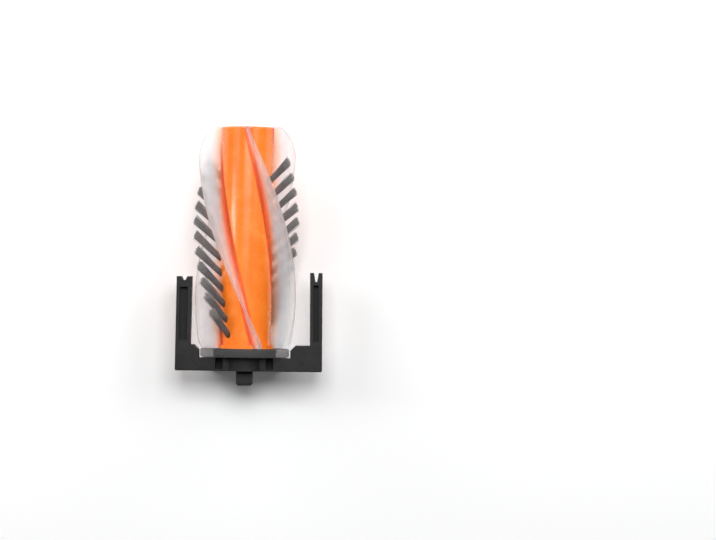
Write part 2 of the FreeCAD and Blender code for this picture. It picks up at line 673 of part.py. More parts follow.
# Core: a turned blank with a spigot for the disc, a bore for the sleeve, a web that grips the shaft and a
# hollow tip, with the blades' slots and the tufts' holes cut into it.
core_blank = turned_piece("core_blank", [
    (core_bore, spigot_end),
    (spigot_radius, spigot_end),
    (spigot_radius, core_start),
    ("Sizes.core_flange_radius", core_start),
    ("Sizes.core_flange_radius", f"{core_start} + Sizes.core_flange_width"),
    ("Sizes.core_radius", f"{core_start} + Sizes.core_flange_width"),
    ("Sizes.core_radius", core_end),
    ("Sizes.tip_hollow_radius", core_end),
    ("Sizes.tip_hollow_radius", grip_end),
    ("Sizes.shaft_radius", grip_end),
    ("Sizes.shaft_radius", bore_end),
    (core_bore, bore_end),
])
round_edges(core_blank, "core_tip_rounding", lambda edge: (
    edge.CenterOfMass.y > value(core_end) - 0.001
    and abs(edge.Vertexes[0].Point.x) > value("Sizes.core_radius") - 0.001
), "Sizes.core_tip_rounding")
pieces.append(boolean("Part::Cut", "core", core_blank, collect("core_cuts", blades + tufts)))
pieces.extend(blades)
pieces.extend(tufts)

# Hair guard disc on the core's spigot, with rounded rims.
disc = turned_piece("hair_guard_disc", ring_points(
    spigot_radius, "Sizes.disc_radius", spigot_end, core_start))
round_edges(disc, "disc_rim", lambda edge: (
    len(edge.Vertexes) == 1 and abs(edge.Vertexes[0].Point.x) > value("Sizes.disc_radius") - 0.001
), "Sizes.disc_rounding")
pieces.append(disc)

# Tip: the washer and screw that hold the core on the shaft, and the cap that closes the hollow.
washer_top = f"({grip_end} + Sizes.washer_thickness)"
screw_top = f"({washer_top} + Sizes.core_screw_head_height)"
pieces.append(turned_piece("core_washer", ring_points(
    "Sizes.core_screw_radius", "Sizes.washer_radius", grip_end, washer_top)))
core_screw_blank = turned_piece("core_screw_blank", [
    ("0", f"{shaft_end} - Sizes.core_screw_depth"),
    ("Sizes.core_screw_radius", f"{shaft_end} - Sizes.core_screw_depth"),
    ("Sizes.core_screw_radius", washer_top),
    ("Sizes.core_screw_head_radius", washer_top),
    ("Sizes.core_screw_head_radius", screw_top),
    ("0", screw_top),
])
driver_slot = doc.addObject("Part::Box", "core_screw_slot")
driver_slot.setExpression("Length", "Sizes.core_screw_radius / 2")
driver_slot.setExpression("Width", "Sizes.core_screw_head_height")
driver_slot.setExpression("Height", "Sizes.core_screw_head_radius * 2.2")
driver_slot.setExpression("Placement.Base.x", "-Sizes.core_screw_radius / 4")
driver_slot.setExpression("Placement.Base.y", f"{screw_top} - Sizes.core_screw_head_height / 2")
driver_slot.setExpression("Placement.Base.z", "-Sizes.core_screw_head_radius * 1.1")
pieces.append(boolean("Part::Cut", "core_screw", core_screw_blank, driver_slot))
pieces.append(turned_piece("tip_cap", [
    ("Sizes.tip_hollow_radius - Sizes.tip_cap_wall", f"{core_end} - Sizes.tip_cap_length"),
    ("Sizes.tip_hollow_radius", f"{core_end} - Sizes.tip_cap_length"),
    ("Sizes.tip_hollow_radius", core_end),
    ("0", core_end),
    ("0", f"{core_end} - Sizes.tip_cap_lid"),
    ("Sizes.tip_hollow_radius - Sizes.tip_cap_wall", f"{core_end} - Sizes.tip_cap_lid"),
]))
doc.recompute()

os.makedirs("parts", exist_ok=True)
broken = [item.Name for item in doc.Objects if "Invalid" in item.State or "Error" in item.State]
if broken:
    raise SystemExit(f"not solved: {broken}")
for piece in pieces:
    if piece.Shape.isNull() or not piece.Shape.isValid():
        raise SystemExit(f"bad shape: {piece.Label}")
    piece.Shape.exportStep(f"parts/{piece.Label}.step")
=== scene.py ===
import math

import bmesh
import bpy
from mathutils import Matrix, Vector


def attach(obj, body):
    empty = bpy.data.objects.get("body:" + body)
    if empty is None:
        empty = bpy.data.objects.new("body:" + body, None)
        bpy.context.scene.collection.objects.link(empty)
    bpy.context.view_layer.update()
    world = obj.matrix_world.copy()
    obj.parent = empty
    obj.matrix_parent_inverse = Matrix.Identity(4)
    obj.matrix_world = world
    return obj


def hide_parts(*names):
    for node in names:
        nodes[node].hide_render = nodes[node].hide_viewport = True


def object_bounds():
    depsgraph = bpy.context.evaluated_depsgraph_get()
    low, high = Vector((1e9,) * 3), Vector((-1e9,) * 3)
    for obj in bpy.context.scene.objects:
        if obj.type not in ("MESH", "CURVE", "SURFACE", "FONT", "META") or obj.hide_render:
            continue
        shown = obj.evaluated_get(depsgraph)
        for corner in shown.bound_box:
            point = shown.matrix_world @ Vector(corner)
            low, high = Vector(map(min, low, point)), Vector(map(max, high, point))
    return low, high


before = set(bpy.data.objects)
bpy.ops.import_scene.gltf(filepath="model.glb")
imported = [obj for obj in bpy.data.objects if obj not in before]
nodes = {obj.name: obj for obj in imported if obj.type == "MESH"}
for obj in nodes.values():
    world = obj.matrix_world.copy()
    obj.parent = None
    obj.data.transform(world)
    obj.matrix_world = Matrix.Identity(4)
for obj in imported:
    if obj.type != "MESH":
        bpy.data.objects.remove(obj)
cad_low, cad_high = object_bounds()
scene = bpy.context.scene

# Bracket: the black U-shaped carrier with two forked arms, end plate, hub and foot.
# It is injection moulded in glass-filled nylon, with a fine spark-eroded grain and softened edges.
BRACKET_BLACK = (0.008, 0.008, 0.0083, 1.0)
BRACKET_WORN = (0.019, 0.019, 0.0195, 1.0)
BRACKET_SHEEN = 0.22
BRACKET_EDGE = 0.00018
MERGE_DISTANCE = 0.000002
FLAT_ANGLE = math.radians(0.5)
SHARP_ANGLE = math.radians(32)
EDGE_ANGLE = math.radians(40)


def feed(tree, socket, value):
    """Sets a socket to a plain value, or links it where the value is another node's output."""
    if isinstance(value, bpy.types.NodeSocket):
        tree.links.new(value, socket)
    else:
        socket.default_value = value


def calc(tree, operation, first, second=0.0, third=0.0):
    """A Math node on numbers or sockets; returns its output."""
    node = tree.nodes.new("ShaderNodeMath")
    node.operation = operation
    for socket, value in zip(node.inputs, (first, second, third)):
        feed(tree, socket, value)
    return node.outputs[0]


def remap(tree, value, low, high, new_low, new_high):
    """A clamped Map Range node; returns its output."""
    node = tree.nodes.new("ShaderNodeMapRange")
    node.clamp = True
    for socket, number in zip(node.inputs, (value, low, high, new_low, new_high)):
        feed(tree, socket, number)
    return node.outputs[0]


def noise(tree, place, scale, detail=2.0, roughness=0.5):
    """A Noise Texture on a place vector; returns its value, about 0.5 on average."""
    node = tree.nodes.new("ShaderNodeTexNoise")
    tree.links.new(place, node.inputs["Vector"])
    node.inputs["Scale"].default_value = scale
    node.inputs["Detail"].default_value = detail
    node.inputs["Roughness"].default_value = roughness
    return node.outputs["Fac"]


def stretched(tree, place, factors):
    """The place vector scaled by a factor along each axis."""
    node = tree.nodes.new("ShaderNodeMapping")
    tree.links.new(place, node.inputs["Vector"])
    node.inputs["Scale"].default_value = factors
    return node.outputs["Vector"]


def colour_mix(tree, share, first, second):
    """A colour Mix node; returns its colour."""
    node = tree.nodes.new("ShaderNodeMix")
    node.data_type = "RGBA"
    node.blend_type = "MIX"
    feed(tree, node.inputs[0], share)
    feed(tree, node.inputs[6], first)
    feed(tree, node.inputs[7], second)
    return node.outputs[2]


def bumped(tree, height, distance):
    """A Bump node on a height of 0 to 1, the given distance deep; returns its normal."""
    node = tree.nodes.new("ShaderNodeBump")
    node.inputs["Strength"].default_value = 1.0
    node.inputs["Distance"].default_value = distance
    tree.links.new(height, node.inputs["Height"])
    return node.outputs["Normal"]


def new_material(name):
    """A node material; returns it with its tree, its Principled shader and its Object coordinates."""
    material = bpy.data.materials.new(name)
    material.use_nodes = True
    tree = material.node_tree
    shader = tree.nodes["Principled BSDF"]
    place = tree.nodes.new("ShaderNodeTexCoord").outputs["Object"]
    return material, tree, shader, place


# The moulded grain of every plastic piece: a spark-eroded pebble, slow flow marks and stray handling marks.
grain_group = bpy.data.node_groups.new("moulded_grain", "ShaderNodeTree")
grain_face = grain_group.interface
grain_face.new_socket("Place", in_out="INPUT", socket_type="NodeSocketVector")
grain_face.new_socket("Pebble", in_out="INPUT", socket_type="NodeSocketFloat")
grain_face.new_socket("Flow", in_out="INPUT", socket_type="NodeSocketFloat")
grain_face.new_socket("Height", in_out="OUTPUT", socket_type="NodeSocketFloat")
grain_face.new_socket("Tone", in_out="OUTPUT", socket_type="NodeSocketFloat")
grain_face.new_socket("Marks", in_out="OUTPUT", socket_type="NodeSocketFloat")
grain_in = grain_group.nodes.new("NodeGroupInput")
grain_out = grain_group.nodes.new("NodeGroupOutput")
pebble = grain_group.nodes.new("ShaderNodeTexVoronoi")
pebble.feature = "SMOOTH_F1"
pebble.inputs["Smoothness"].default_value = 0.7
grain_group.links.new(grain_in.outputs["Place"], pebble.inputs["Vector"])
grain_group.links.new(grain_in.outputs["Pebble"], pebble.inputs["Scale"])
flow = grain_group.nodes.new("ShaderNodeTexNoise")
flow.inputs["Detail"].default_value = 3.0
grain_group.links.new(grain_in.outputs["Place"], flow.inputs["Vector"])
grain_group.links.new(grain_in.outputs["Flow"], flow.inputs["Scale"])
marks = grain_group.nodes.new("ShaderNodeTexNoise")
marks.inputs["Scale"].default_value = 900.0
marks.inputs["Detail"].default_value = 4.0
grain_group.links.new(grain_in.outputs["Place"], marks.inputs["Vector"])
grain_group.links.new(pebble.outputs["Distance"], grain_out.inputs["Height"])
grain_group.links.new(flow.outputs["Fac"], grain_out.inputs["Tone"])
stray_marks = remap(grain_group, marks.outputs["Fac"], 0.56, 0.72, 0.0, 1.0)
grain_group.links.new(stray_marks, grain_out.inputs["Marks"])


def moulded_plastic(name, deep, light, gloss, pebble_scale, flow_scale, grain_depth):
    """A moulded plastic between two tones, with a (low, high) roughness and its grain.

    Returns the material and its shader."""
    material, tree, shader, place = new_material(name)
    grain = tree.nodes.new("ShaderNodeGroup")
    grain.node_tree = grain_group
    tree.links.new(place, grain.inputs["Place"])
    grain.inputs["Pebble"].default_value = pebble_scale
    grain.inputs["Flow"].default_value = flow_scale
    tone = remap(tree, grain.outputs["Tone"], 0.3, 0.7, 0.0, 1.0)
    body = colour_mix(tree, tone, deep, light)
    tree.links.new(body, shader.inputs["Base Color"])
    rough = remap(tree, grain.outputs["Tone"], 0.3, 0.7, gloss[0], gloss[1])
    rough = calc(tree, "MULTIPLY_ADD", grain.outputs["Marks"], 0.08, rough)
    tree.links.new(rough, shader.inputs["Roughness"])
    tree.links.new(bumped(tree, grain.outputs["Height"], grain_depth), shader.inputs["Normal"])
    return material, shader


def merged_copy(node_name, name):
    """A copy of a CAD piece with its doubled points merged and its flat faces joined up."""
    shape = bmesh.new()
    shape.from_mesh(nodes[node_name].data)
    bmesh.ops.remove_doubles(shape, verts=shape.verts[:], dist=MERGE_DISTANCE)
    bmesh.ops.dissolve_limit(shape, angle_limit=FLAT_ANGLE, verts=shape.verts[:], edges=shape.edges[:])
    mesh = bpy.data.meshes.new(name)
    shape.to_mesh(mesh)
    shape.free()
    mesh.materials.clear()
    if "custom_normal" in mesh.attributes:
        mesh.attributes.remove(mesh.attributes["custom_normal"])
    for face in mesh.polygons:
        face.use_smooth = True
        face.material_index = 0
    mesh.set_sharp_from_angle(angle=SHARP_ANGLE)
    piece = bpy.data.objects.new(name, mesh)
    scene.collection.objects.link(piece)
    return piece


bracket_black, shader = moulded_plastic(
    "bracket_black", BRACKET_BLACK, BRACKET_WORN, gloss=(0.42, 0.56),
    pebble_scale=5200.0, flow_scale=260.0, grain_depth=0.00003,
)
shader.inputs["Specular IOR Level"].default_value = BRACKET_SHEEN

bracket = merged_copy("bracket", "bracket_moulding")
bracket.data.materials.append(bracket_black)
edge = bracket.modifiers.new("softened_edges", "BEVEL")
edge.width = BRACKET_EDGE
edge.segments = 2
edge.limit_method = "ANGLE"
edge.angle_limit = EDGE_ANGLE
edge.harden_normals = True
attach(bracket, "bracket")
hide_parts("bracket")

# Bearing cap: the black lid that closes the hub from outside, held by two small countersunk screws.
# The lid is moulded in the bracket's own plastic; the screws are zinc-plated steel.
STEEL = (0.56, 0.56, 0.57, 1.0)
STEEL_DULL = (0.36, 0.36, 0.37, 1.0)


def finish_node(node_name, material):
    """Gives a CAD piece one finish all over."""
    mesh = nodes[node_name].data
    mesh.materials.clear()
    mesh.materials.append(material)


cap_black, shader = moulded_plastic(
    "bearing_cap_black", BRACKET_BLACK, BRACKET_WORN, gloss=(0.36, 0.5),
    pebble_scale=6000.0, flow_scale=300.0, grain_depth=0.00002,
)
shader.inputs["Specular IOR Level"].default_value = BRACKET_SHEEN
finish_node("bearing_cap", cap_black)

turned_steel, tree, shader, place = new_material("turned_steel")
brushed = noise(tree, stretched(tree, place, (1.0, 9.0, 1.0)), 2600.0, 3.0)
stain = noise(tree, place, 420.0, 4.0)
stained = remap(tree, stain, 0.35, 0.7, 0.0, 1.0)
tree.links.new(colour_mix(tree, stained, STEEL, STEEL_DULL), shader.inputs["Base Color"])
tree.links.new(remap(tree, brushed, 0.3, 0.7, 0.2, 0.42), shader.inputs["Roughness"])
tree.links.new(bumped(tree, brushed, 0.000006), shader.inputs["Normal"])
shader.inputs["Metallic"].default_value = 1.0
finish_node("cap_screws", turned_steel)

# Felt ring: pressed into the hub's seat, it wipes the turning spigot and keeps hair out of the bearing.
# It is die-cut from grey wool felt.
FELT_LIGHT = (0.2, 0.195, 0.185, 1.0)
FELT_DARK = (0.07, 0.068, 0.065, 1.0)

wool_felt, tree, shader, place = new_material("wool_felt")
fibres = noise(tree, stretched(tree, place, (1.0, 0.35, 1.6)), 5200.0, 6.0, 0.7)
fibre_share = remap(tree, fibres, 0.3, 0.7, 0.0, 1.0)
tree.links.new(colour_mix(tree, fibre_share, FELT_DARK, FELT_LIGHT), shader.inputs["Base Color"])
shader.inputs["Roughness"].default_value = 0.95
shader.inputs["Sheen Weight"].default_value = 0.4
tree.links.new(bumped(tree, fibres, 0.00012), shader.inputs["Normal"])
finish_node("felt_seal", wool_felt)

# Ball bearings: one in the hub and one at the end of the sleeve, each with ground steel races and balls.
# The cages that space the balls are moulded in pale nylon and run at their own speed.
CAGE_PALE = (0.62, 0.58, 0.48, 1.0)
CAGE_DEEP = (0.5, 0.46, 0.36, 1.0)

for bearing in ("hub_bearing", "sleeve_bearing"):
    for ring in ("outer_race", "inner_race", "balls"):
        finish_node(f"{bearing}_{ring}", turned_steel)

cage_nylon, _ = moulded_plastic(
    "cage_nylon", CAGE_DEEP, CAGE_PALE, gloss=(0.4, 0.55),
    pebble_scale=6000.0, flow_scale=500.0, grain_depth=0.00001,
)
finish_node("hub_bearing_cage", cage_nylon)
finish_node("sleeve_bearing_cage", cage_nylon)

# Drive shaft: a ground steel rod that carries the core, with a spacer tube, a retaining clip and,
# outside the hub, a black square drive plug that a steel cross pin holds.
PLUG_BLACK = (0.006, 0.006, 0.0063, 1.0)
PLUG_WORN = (0.016, 0.016, 0.0165, 1.0)

for turned_piece in ("drive_shaft", "drive_pin", "race_spacer", "retaining_clip"):
    finish_node(turned_piece, turned_steel)

plug_black, shader = moulded_plastic(
    "drive_plug_black", PLUG_BLACK, PLUG_WORN, gloss=(0.34, 0.5),
    pebble_scale=5200.0, flow_scale=420.0, grain_depth=0.00002,
)
shader.inputs["Specular IOR Level"].default_value = BRACKET_SHEEN
finish_node("drive_plug", plug_black)

# Core: the bright orange tube with helical slots for the blades and blind holes for the tufts.
# It is injection moulded in polished ABS; a lid of the same plastic closes its free end.
CORE_ORANGE = (0.92, 0.185, 0.012, 1.0)
CORE_LIGHT = (1.0, 0.235, 0.022, 1.0)
LID_EDGE = 0.0003

core_orange, shader = moulded_plastic(
    "core_orange", CORE_ORANGE, CORE_LIGHT, gloss=(0.2, 0.28),
    pebble_scale=2400.0, flow_scale=160.0, grain_depth=0.000006,
)
shader.inputs["Coat Weight"].default_value = 0.25
shader.inputs["Coat Roughness"].default_value = 0.15
finish_node("core", core_orange)
tip_lid = merged_copy("tip_cap", "tip_lid")
tip_lid.data.materials.append(core_orange)
seam = tip_lid.modifiers.new("seam", "BEVEL")
seam.width = LID_EDGE
seam.segments = 3
seam.limit_method = "ANGLE"
seam.angle_limit = EDGE_ANGLE
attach(tip_lid, "roller")
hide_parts("tip_cap")
finish_node("core_screw", turned_steel)
finish_node("core_washer", turned_steel)

# Hair guard disc: the clear round flange between the core and the bracket that stops hair from winding in.
# It is moulded in clear, slightly smoky elastomer with a rounded rim, round a dark stiff centre ring.
DISC_RADIUS = 0.0178
DISC_BORE = 0.0078
DISC_SEAM = 0.0125
DISC_NEAR = 0.0056
DISC_FAR = 0.009
DISC_ROUNDING = 0.0009
DISC_CLARITY = 0.6
DISC_BANDS = (
    (0.0126, (0.07, 0.07, 0.073, 1.0), 0.62),
    (0.0165, (0.1, 0.1, 0.104, 1.0), 0.58),
    (0.0176, (0.17, 0.17, 0.174, 1.0), 0.56),
)
ELASTOMER_IOR = 1.35
SHADE_SHARE = 0.35
LINE_FULL = 0.00025
LINE_FADED = 0.0008
LINE_DENSITY = 0.3
RING_DARK = (0.012, 0.013, 0.012, 1.0)
RING_WORN = (0.03, 0.031, 0.03, 1.0)
RING_INSET = 0.0002
RING_OVERLAP = 0.00006


def turned_ring(name, outline, steps=128):
    """A ring turned round the roller's axis from a closed outline of (radius, Y) points."""
    points = []
    faces = []
    count = len(outline)
    for step in range(steps):
        turn = 2.0 * math.pi * step / steps
        for radius, along in outline:
            points.append((radius * math.sin(turn), along, radius * math.cos(turn)))
        here = step * count
        there = (step + 1) % steps * count
        for corner in range(count):
            beside = (corner + 1) % count
            faces.append((here + corner, here + beside, there + beside, there + corner))
    mesh = bpy.data.meshes.new(name)
    mesh.from_pydata(points, [], faces)
    shape = bmesh.new()
    shape.from_mesh(mesh)
    bmesh.ops.recalc_face_normals(shape, faces=shape.faces[:])
    shape.to_mesh(mesh)
    shape.free()
    for face in mesh.polygons:
        face.use_smooth = True
    mesh.set_sharp_from_angle(angle=SHARP_ANGLE)
    ring = bpy.data.objects.new(name, mesh)
    scene.collection.objects.link(ring)
    return ring


def corner_arc(radius_mid, along_mid, rounding, start, steps=6):
    """Points of a quarter circle in an outline, from the start angle in degrees."""
    angles = [math.radians(start + 90.0 * step / steps) for step in range(steps + 1)]
    return [(radius_mid + rounding * math.cos(a), along_mid + rounding * math.sin(a)) for a in angles]


def clear_elastomer(name, span, bands, rim_painted_shade=None):
    """Milky see-through rubber whose colour and density change from its root to its rim.

    Each band is a radius round the roller's axis, a colour and a density; span is the largest radius. A
    band's colour is the rubber's own tint on the disc and painted light on the blades, where it paints the
    core's glow and the shade near the root.
    The edge line is a greyer colour painted along the rim: painted shade for a rim that is seen along its
    width. Light passes more easily than the look suggests, so only a share of the density casts a shadow.
    Returns the material and its shader."""
    material, tree, shader, place = new_material(name)
    split = tree.nodes.new("ShaderNodeSeparateXYZ")
    tree.links.new(place, split.inputs[0])
    across = calc(tree, "MULTIPLY", split.outputs["X"], split.outputs["X"])
    radius = calc(tree, "SQRT", calc(tree, "MULTIPLY_ADD", split.outputs["Z"], split.outputs["Z"], across))
    share = calc(tree, "DIVIDE", radius, span)
    clouds = noise(tree, place, 220.0, 3.0)
    # The colour ramp: the disc's own tint, and on the blades painted glow and painted shade.
    tint_and_painted_light = tree.nodes.new("ShaderNodeValToRGB")
    density = tree.nodes.new("ShaderNodeValToRGB")
    tints_and_painted_light = [band_colour for _, band_colour, _ in bands]
    densities = [(dense, dense, dense, 1.0) for _, _, dense in bands]
    for ramp, ramp_colours in ((tint_and_painted_light, tints_and_painted_light), (density, densities)):
        tree.links.new(share, ramp.inputs[0])
        stops = ramp.color_ramp.elements
        while len(stops) < len(bands):
            stops.new(0.5)
        for stop, band, ramp_colour in zip(stops, bands, ramp_colours):
            stop.position = band[0] / span
            stop.color = ramp_colour
    cloudy = calc(tree, "MULTIPLY", density.outputs["Color"], remap(tree, clouds, 0.25, 0.75, 0.92, 1.08))
    colour = tint_and_painted_light.outputs["Color"]
    # Painted shade: a greyer line along the rim, where the clear edge is seen along its width.
    if rim_painted_shade is not None:
        edge = tree.nodes.new("ShaderNodeAttribute")
        edge.attribute_name = "edge_distance"
        line = remap(tree, edge.outputs["Fac"], LINE_FULL, LINE_FADED, 1.0, 0.0)
        colour = colour_mix(tree, line, colour, rim_painted_shade)
        cloudy = calc(tree, "MULTIPLY_ADD", line, LINE_DENSITY, cloudy)
    tree.links.new(colour, shader.inputs["Base Color"])
    light_path = tree.nodes.new("ShaderNodeLightPath")
    let_through = remap(tree, light_path.outputs["Is Shadow Ray"], 0.0, 1.0, 1.0, SHADE_SHARE)
    tree.links.new(calc(tree, "MULTIPLY", cloudy, let_through), shader.inputs["Alpha"])
    tree.links.new(remap(tree, clouds, 0.3, 0.7, 0.74, 0.84), shader.inputs["Roughness"])
    ripple = noise(tree, place, 500.0, 2.0)
    tree.links.new(bumped(tree, ripple, 0.00002), shader.inputs["Normal"])
    shader.inputs["IOR"].default_value = ELASTOMER_IOR
    return material, shader


rim_middle = DISC_RADIUS - DISC_ROUNDING
disc_outline = [(DISC_SEAM, DISC_NEAR)]
disc_outline += corner_arc(rim_middle, DISC_NEAR + DISC_ROUNDING, DISC_ROUNDING, -90.0)
disc_outline += corner_arc(rim_middle, DISC_FAR - DISC_ROUNDING, DISC_ROUNDING, 0.0)
disc_outline += [(DISC_SEAM, DISC_FAR)]
disc_clear, shader = clear_elastomer("disc_clear", DISC_RADIUS, DISC_BANDS)
shader.inputs["Transmission Weight"].default_value = DISC_CLARITY
disc = turned_ring("hair_guard_disc_rim", disc_outline)
disc.data.materials.append(disc_clear)
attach(disc, "roller")
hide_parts("hair_guard_disc")

ring_radius = DISC_SEAM + RING_OVERLAP
ring_outline = [
    (DISC_BORE, DISC_NEAR),
    (ring_radius - RING_INSET, DISC_NEAR),
    (ring_radius, DISC_NEAR + RING_INSET),
    (ring_radius, DISC_FAR - RING_INSET),
    (ring_radius - RING_INSET, DISC_FAR),
    (DISC_BORE, DISC_FAR),
]
ring_dark, shader = moulded_plastic(
    "disc_ring_dark", RING_DARK, RING_WORN, gloss=(0.4, 0.55),
    pebble_scale=5200.0, flow_scale=400.0, grain_depth=0.00002,
)
shader.inputs["Specular IOR Level"].default_value = BRACKET_SHEEN
disc_ring = turned_ring("hair_guard_disc_ring", ring_outline)
disc_ring.data.materials.append(ring_dark)
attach(disc_ring, "roller")

# Blades: four clear helical lips that sweep the floor, two pairs set round the core.
# Each is moulded in soft clear elastomer and grows thinner towards its edge.
# Its foot keys into a helical slot in the core.
CORE_LENGTH = 0.0886
CORE_END = 0.0976
TWIST = math.radians(120)
BLADE_TIP_RADIUS = 0.0195
BLADE_BASE_RADIUS = 0.0204
BLADE_END_GAP = 0.00008
BLADE_ANGLES = (0.0, math.radians(-98), math.radians(180), math.radians(82))
# Each band is a radius, a colour and a density. The colours are painted light: orange-red near the root
# paints the core's glow through the clear rubber, darkest at the root crease as painted shade, and the
# greyer tints further out, whitening towards the rim, paint the shade near the core.
BLADE_GLOW_AND_SHADE_BANDS = (
    (0.01025, (0.7, 0.14, 0.05, 1.0), 0.8),
    (0.0105, (1.0, 0.3, 0.12, 1.0), 0.46),
    (0.0116, (1.0, 0.46, 0.26, 1.0), 0.5),
    (0.0126, (1.0, 0.68, 0.53, 1.0), 0.57),
    (0.0136, (0.88, 0.83, 0.83, 1.0), 0.68),
    (0.0146, (0.83, 0.85, 0.88, 1.0), 0.76),
    (0.0166, (0.87, 0.905, 0.93, 1.0), 0.72),
    (0.0192, (0.92, 0.95, 0.965, 1.0), 0.42),
)
# The rim's greyer colour is painted shade for the clear edge seen along its width.
BLADE_RIM_PAINTED_SHADE = (0.71, 0.71, 0.72, 1.0)
BLADE_CLARITY = 0.78
ALONG_STEPS = 170
ROUND_STEPS = 81
SLIVER_LENGTH = 0.0000005


def tree_input(tree, entry, name, kind, value=None):
    """Adds a named input to a node tree; returns the matching output of its Group Input node."""
    socket = tree.interface.new_socket(name, in_out="INPUT", socket_type=kind)
    if value is not None:
        socket.default_value = value
    return entry.outputs[name]


def combined(tree, x, y, z):
    """A vector of three numbers or sockets."""
    node = tree.nodes.new("ShaderNodeCombineXYZ")
    for socket, value in zip(node.inputs, (x, y, z)):
        feed(tree, socket, value)
    return node.outputs[0]


def limited(tree, value):
    """The value held between 0 and 1."""
    return remap(tree, value, 0.0, 1.0, 0.0, 1.0)


def arc_setback(tree, distance, reach, radius):
    """A rounded corner's setback: 0 from the reach on, and deeper along an arc of the radius below it."""
    gap = calc(tree, "MAXIMUM", calc(tree, "SUBTRACT", reach, distance), 0.0)
    square = calc(tree, "SUBTRACT", calc(tree, "MULTIPLY", radius, radius), calc(tree, "MULTIPLY", gap, gap))
    return calc(tree, "SUBTRACT", radius, calc(tree, "SQRT", calc(tree, "MAXIMUM", square, 0.0)))


def quarter_round(tree, distance, radius):
    """The setback of a corner that is a quarter circle."""
    return arc_setback(tree, distance, radius, radius)


blade_tree = bpy.data.node_groups.new("helical_blade", "GeometryNodeTree")
blade_tree.interface.new_socket("Blade", in_out="OUTPUT", socket_type="NodeSocketGeometry")
entry = blade_tree.nodes.new("NodeGroupInput")
phase = tree_input(blade_tree, entry, "Phase", "NodeSocketFloat", 0.0)
twist = tree_input(blade_tree, entry, "Twist", "NodeSocketFloat", TWIST)
tip_y = tree_input(blade_tree, entry, "Tip Y", "NodeSocketFloat", CORE_END)
length = tree_input(blade_tree, entry, "Length", "NodeSocketFloat", CORE_LENGTH - BLADE_END_GAP)
tip_radius = tree_input(blade_tree, entry, "Tip Radius", "NodeSocketFloat", BLADE_TIP_RADIUS)
base_radius = tree_input(blade_tree, entry, "Base Radius", "NodeSocketFloat", BLADE_BASE_RADIUS)
tip_taper = tree_input(blade_tree, entry, "Tip Taper", "NodeSocketFloat", 0.0135)
tip_rounding = tree_input(blade_tree, entry, "Tip Rounding", "NodeSocketFloat", 0.01879)
base_rounding = tree_input(blade_tree, entry, "Base Rounding", "NodeSocketFloat", 0.0034)
foot_radius = tree_input(blade_tree, entry, "Foot Radius", "NodeSocketFloat", 0.008)
foot_depth = tree_input(blade_tree, entry, "Foot Depth", "NodeSocketFloat", 0.001)
foot_half = tree_input(blade_tree, entry, "Foot Half Width", "NodeSocketFloat", 0.0017)
neck_depth = tree_input(blade_tree, entry, "Neck Depth", "NodeSocketFloat", 0.0007)
neck_half = tree_input(blade_tree, entry, "Neck Half Width", "NodeSocketFloat", 0.0009)
wall_start = tree_input(blade_tree, entry, "Wall Start", "NodeSocketFloat", 0.01155)
root_rounding = tree_input(blade_tree, entry, "Root Rounding", "NodeSocketFloat", 0.00135)
wall = tree_input(blade_tree, entry, "Wall", "NodeSocketFloat", 0.0015)
lip = tree_input(blade_tree, entry, "Lip", "NodeSocketFloat", 0.0011)
thinning_height = tree_input(blade_tree, entry, "Thinning Height", "NodeSocketFloat", 0.009)
lip_rounding = tree_input(blade_tree, entry, "Lip Rounding", "NodeSocketFloat", 0.0004)
end_rounding = tree_input(blade_tree, entry, "End Rounding", "NodeSocketFloat", 0.00012)
finish = tree_input(blade_tree, entry, "Finish", "NodeSocketMaterial")

# A flat grid becomes the blade: its X runs along the roller and its Y round the section.
grid = blade_tree.nodes.new("GeometryNodeMeshGrid")
grid.inputs["Size X"].default_value = 1.0
grid.inputs["Size Y"].default_value = 1.0
grid.inputs["Vertices X"].default_value = ALONG_STEPS
grid.inputs["Vertices Y"].default_value = ROUND_STEPS
spot = blade_tree.nodes.new("ShaderNodeSeparateXYZ")
blade_tree.links.new(blade_tree.nodes.new("GeometryNodeInputPosition").outputs[0], spot.inputs[0])
along = calc(blade_tree, "ADD", spot.outputs["X"], 0.5)
side = calc(blade_tree, "MULTIPLY", spot.outputs["Y"], 2.0)

# The steps lie closer together at both ends, where the outline is rounded.
ease = calc(blade_tree, "MULTIPLY", along, along)
ease = calc(blade_tree, "MULTIPLY", ease, calc(blade_tree, "MULTIPLY_ADD", along, -2.0, 3.0))
from_tip = calc(blade_tree, "MULTIPLY", ease, length)
from_base = calc(blade_tree, "SUBTRACT", length, from_tip)
outer = remap(blade_tree, from_tip, tip_taper, length, tip_radius, base_radius)
outer = calc(blade_tree, "SUBTRACT", outer, arc_setback(blade_tree, from_tip, tip_taper, tip_rounding))
outer = calc(blade_tree, "SUBTRACT", outer, quarter_round(blade_tree, from_base, base_rounding))

# Round the section, from the sole of the foot up to the lip, each stretch takes its share of the steps.
rise = calc(blade_tree, "SUBTRACT", 1.0, calc(blade_tree, "ABSOLUTE", side))
sole_share = remap(blade_tree, rise, 0.0, 0.05, 0.0, 1.0)
foot_share = remap(blade_tree, rise, 0.05, 0.1, 0.0, 1.0)
instep_share = remap(blade_tree, rise, 0.1, 0.15, 0.0, 1.0)
neck_share = remap(blade_tree, rise, 0.15, 0.2, 0.0, 1.0)
ledge_share = remap(blade_tree, rise, 0.2, 0.25, 0.0, 1.0)
root_share = remap(blade_tree, rise, 0.25, 0.5, 0.0, 1.0)
wall_share = remap(blade_tree, rise, 0.5, 1.0, 1.0, 0.0)
wall_share = calc(blade_tree, "SUBTRACT", 1.0, calc(blade_tree, "MULTIPLY", wall_share, wall_share))
floor_radius = calc(blade_tree, "ADD", foot_radius, calc(blade_tree, "ADD", foot_depth, neck_depth))
root_height = calc(blade_tree, "SUBTRACT", wall_start, floor_radius)
wall_height = calc(blade_tree, "SUBTRACT", outer, wall_start)
radius = foot_radius
for rising, rising_share in (
    (foot_depth, foot_share), (neck_depth, neck_share), (root_height, root_share), (wall_height, wall_share)
):
    radius = calc(blade_tree, "MULTIPLY_ADD", rising, rising_share, radius)

